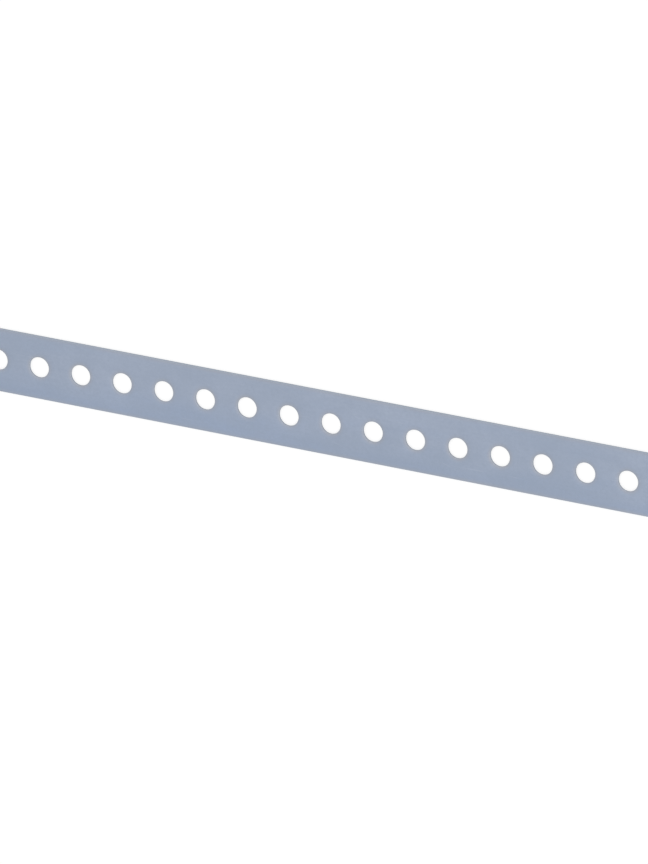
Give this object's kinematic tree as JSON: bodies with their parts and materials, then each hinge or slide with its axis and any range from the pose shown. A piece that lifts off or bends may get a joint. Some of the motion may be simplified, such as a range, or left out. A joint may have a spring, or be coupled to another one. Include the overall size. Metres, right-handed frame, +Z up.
{
  "type": "perforated mounting strap",
  "caption": "Flat strip of plated sheet steel with a row of round holes along its centre line, cut square at both ends, for hanging and fixing cables and pipes.",
  "frame": {"origin": "middle of the strap's back, where it rests on the floor", "axes": "+X along the strap, +Y across its width, +Z up out of its punched face"},
  "size_m": [0.5, 0.02, 0.0008],
  "materials": {
    "zinc_plated_steel": "satin"
  },
  "bodies": {
    "root": {"strap": "zinc_plated_steel"}
  },
  "joints": []
}
